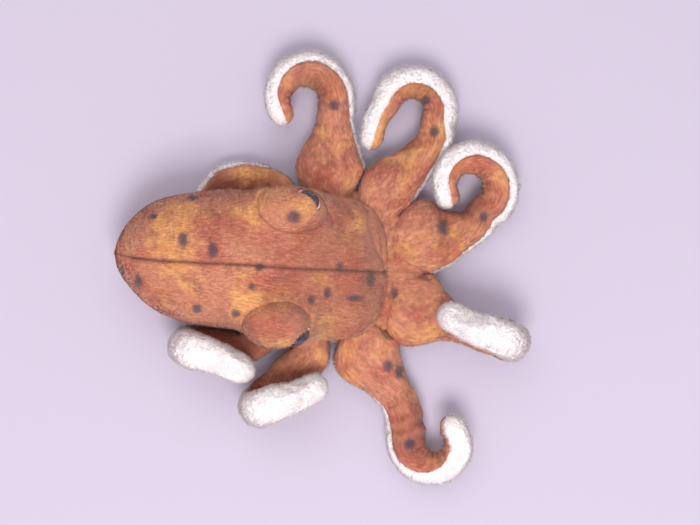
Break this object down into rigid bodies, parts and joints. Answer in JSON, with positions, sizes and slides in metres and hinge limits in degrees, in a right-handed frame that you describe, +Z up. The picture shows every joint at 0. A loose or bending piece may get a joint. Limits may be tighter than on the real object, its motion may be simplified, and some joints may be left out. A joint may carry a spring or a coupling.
{
  "type": "stuffed plush octopus",
  "caption": "Plush octopus lying on its underside, with a pear-shaped mantle, raised brows over domed eyes and curling arms with white undersides.",
  "frame": {"origin": "centre of the toy's footprint, on the surface it lies on", "axes": "+Z up off the surface, +X from the mantle's tip towards the arms, +Y the toy's left"},
  "size_m": [0.2474, 0.2602, 0.0676],
  "materials": {
    "mottled_plush": "short-pile mottled plush",
    "white_plush": "fluffy white plush",
    "fibre_fill": "loose polyester fibre",
    "eye_plastic": "glossy",
    "rim_felt": "felt",
    "washer_plastic": "matte"
  },
  "bodies": {
    "head": {"mantle_left_panel": "mottled_plush", "mantle_right_panel": "mottled_plush", "throat_panel": "mottled_plush", "head_stuffing": "fibre_fill", "crown_under_panel": "white_plush", "crown_wall_panel": "mottled_plush", "crown_stuffing": "fibre_fill", "left_brow_panel": "mottled_plush", "left_brow_stuffing": "fibre_fill", "left_eye": "eye_plastic", "left_eye_rim": "rim_felt", "left_eye_washer": "washer_plastic", "right_brow_panel": "mottled_plush", "right_brow_stuffing": "fibre_fill", "right_eye": "eye_plastic", "right_eye_rim": "rim_felt", "right_eye_washer": "washer_plastic"},
    "mantle": {"belly_panel": "mottled_plush", "mantle_stuffing": "fibre_fill"},
    "arm_1_root": {"arm_1_back_panel": "mottled_plush", "arm_1_under_panel": "white_plush", "arm_1_root_stuffing": "fibre_fill"},
    "arm_1_tip": {"arm_1_tip_stuffing": "fibre_fill"},
    "arm_2_root": {"arm_2_back_panel": "mottled_plush", "arm_2_under_panel": "white_plush", "arm_2_root_stuffing": "fibre_fill"},
    "arm_2_tip": {"arm_2_tip_stuffing": "fibre_fill"},
    "arm_3_root": {"arm_3_back_panel": "mottled_plush", "arm_3_under_panel": "white_plush", "arm_3_root_stuffing": "fibre_fill"},
    "arm_3_tip": {"arm_3_tip_stuffing": "fibre_fill"},
    "arm_4_root": {"arm_4_back_panel": "mottled_plush", "arm_4_under_panel": "white_plush", "arm_4_root_stuffing": "fibre_fill"},
    "arm_4_tip": {"arm_4_tip_stuffing": "fibre_fill"},
    "arm_5_root": {"arm_5_back_panel": "mottled_plush", "arm_5_under_panel": "white_plush", "arm_5_root_stuffing": "fibre_fill"},
    "arm_5_tip": {"arm_5_tip_stuffing": "fibre_fill"},
    "arm_6_root": {"arm_6_back_panel": "mottled_plush", "arm_6_under_panel": "white_plush", "arm_6_root_stuffing": "fibre_fill"},
    "arm_6_tip": {"arm_6_tip_stuffing": "fibre_fill"},
    "arm_7_root": {"arm_7_back_panel": "mottled_plush", "arm_7_under_panel": "white_plush", "arm_7_root_stuffing": "fibre_fill"},
    "arm_7_tip": {"arm_7_tip_stuffing": "fibre_fill"},
    "arm_8_root": {"arm_8_back_panel": "mottled_plush", "arm_8_under_panel": "white_plush", "arm_8_root_stuffing": "fibre_fill"},
    "arm_8_tip": {"arm_8_tip_stuffing": "fibre_fill"}
  },
  "joints": [
    {"name": "mantle_lift", "type": "hinge", "parent": "head", "child": "mantle", "pos_m": [-0.0427, 0.00513, 0.03373], "axis": [0, 1, 0], "range_deg": [0, 16], "stiffness_Nm_per_rad": 0.05, "deforming": ["mantle_left_panel", "mantle_right_panel", "belly_panel"]},
    {"name": "arm_1_swing", "type": "hinge", "parent": "head", "child": "arm_1_root", "pos_m": [-0.01576, 0.02916, 0.0095], "axis": [0, 0, -1], "range_deg": [0, 6], "stiffness_Nm_per_rad": 0.02},
    {"name": "arm_1_curl", "type": "hinge", "parent": "arm_1_root", "child": "arm_1_tip", "pos_m": [-0.06311, 0.0518, 0.00988], "axis": [0.1636, 0.0516, -0.9852], "range_deg": [0, 30], "stiffness_Nm_per_rad": 0.02, "deforming": ["arm_1_back_panel", "arm_1_under_panel"]},
    {"name": "arm_2_lift", "type": "hinge", "parent": "head", "child": "arm_2_root", "pos_m": [0.00518, 0.04313, 0.0225], "axis": [0.9986, 0.0523, 0], "range_deg": [0, 35], "stiffness_Nm_per_rad": 0.02},
    {"name": "arm_2_curl", "type": "hinge", "parent": "arm_2_root", "child": "arm_2_tip", "pos_m": [-0.01308, 0.12054, 0.0152], "axis": [-0.0766, -0.0163, -0.9969], "range_deg": [0, 40], "stiffness_Nm_per_rad": 0.02, "deforming": ["arm_2_back_panel", "arm_2_under_panel"]},
    {"name": "arm_3_lift", "type": "hinge", "parent": "head", "child": "arm_3_root", "pos_m": [0.02808, 0.03231, 0.0225], "axis": [0.8191, -0.5736, 0], "range_deg": [0, 22], "stiffness_Nm_per_rad": 0.02},
    {"name": "arm_3_curl", "type": "hinge", "parent": "arm_3_root", "child": "arm_3_tip", "pos_m": [0.05371, 0.11311, 0.01377], "axis": [-0.0465, 0.9989, 0], "range_deg": [0, 30], "stiffness_Nm_per_rad": 0.02, "deforming": ["arm_3_back_panel", "arm_3_under_panel"]},
    {"name": "arm_4_lift", "type": "hinge", "parent": "head", "child": "arm_4_root", "pos_m": [0.0371, 0.01174, 0.0225], "axis": [0.2924, -0.9563, 0], "range_deg": [0, 35], "stiffness_Nm_per_rad": 0.02},
    {"name": "arm_4_curl", "type": "hinge", "parent": "arm_4_root", "child": "arm_4_tip", "pos_m": [0.09166, 0.06701, 0.02048], "axis": [0.0802, 0.9968, 0], "range_deg": [0, 12], "stiffness_Nm_per_rad": 0.02, "deforming": ["arm_4_back_panel", "arm_4_under_panel"]},
    {"name": "arm_5_lift", "type": "hinge", "parent": "head", "child": "arm_5_root", "pos_m": [0.03558, -0.01273, 0.0225], "axis": [-0.4772, -0.8788, 0], "range_deg": [0, 35], "stiffness_Nm_per_rad": 0.02},
    {"name": "arm_5_curl", "type": "hinge", "parent": "arm_5_root", "child": "arm_5_tip", "pos_m": [0.11393, -0.04378, 0.0264], "axis": [0.3418, 0.9392, -0.0324], "range_deg": [0, 40], "stiffness_Nm_per_rad": 0.02, "deforming": ["arm_5_back_panel", "arm_5_under_panel"]},
    {"name": "arm_6_lift", "type": "hinge", "parent": "head", "child": "arm_6_root", "pos_m": [0.02059, -0.03388, 0.0225], "axis": [-0.9397, -0.342, 0], "range_deg": [0, 35], "stiffness_Nm_per_rad": 0.02},
    {"name": "arm_6_curl", "type": "hinge", "parent": "arm_6_root", "child": "arm_6_tip", "pos_m": [0.07287, -0.11884, 0.0177], "axis": [0.1521, 0.0693, -0.9859], "range_deg": [0, 35], "stiffness_Nm_per_rad": 0.02, "deforming": ["arm_6_back_panel", "arm_6_under_panel"]},
    {"name": "arm_7_lift", "type": "hinge", "parent": "head", "child": "arm_7_root", "pos_m": [-0.00326, -0.03544, 0.0225], "axis": [-0.9636, 0.2672, 0], "range_deg": [0, 25], "stiffness_Nm_per_rad": 0.02},
    {"name": "arm_7_curl", "type": "hinge", "parent": "arm_7_root", "child": "arm_7_tip", "pos_m": [-0.03925, -0.0828, 0.0264], "axis": [0.5239, -0.8384, -0.1506], "range_deg": [0, 40], "stiffness_Nm_per_rad": 0.02, "deforming": ["arm_7_back_panel", "arm_7_under_panel"]},
    {"name": "arm_8_swing", "type": "hinge", "parent": "head", "child": "arm_8_root", "pos_m": [-0.01644, -0.02283, 0.0095], "axis": [0, 0, 1], "range_deg": [-4, 4], "stiffness_Nm_per_rad": 0.02},
    {"name": "arm_8_curl", "type": "hinge", "parent": "arm_8_root", "child": "arm_8_tip", "pos_m": [-0.08158, -0.04575, 0.0264], "axis": [-0.207, -0.9738, -0.0943], "range_deg": [0, 40], "stiffness_Nm_per_rad": 0.02, "deforming": ["arm_8_back_panel", "arm_8_under_panel"]}
  ]
}
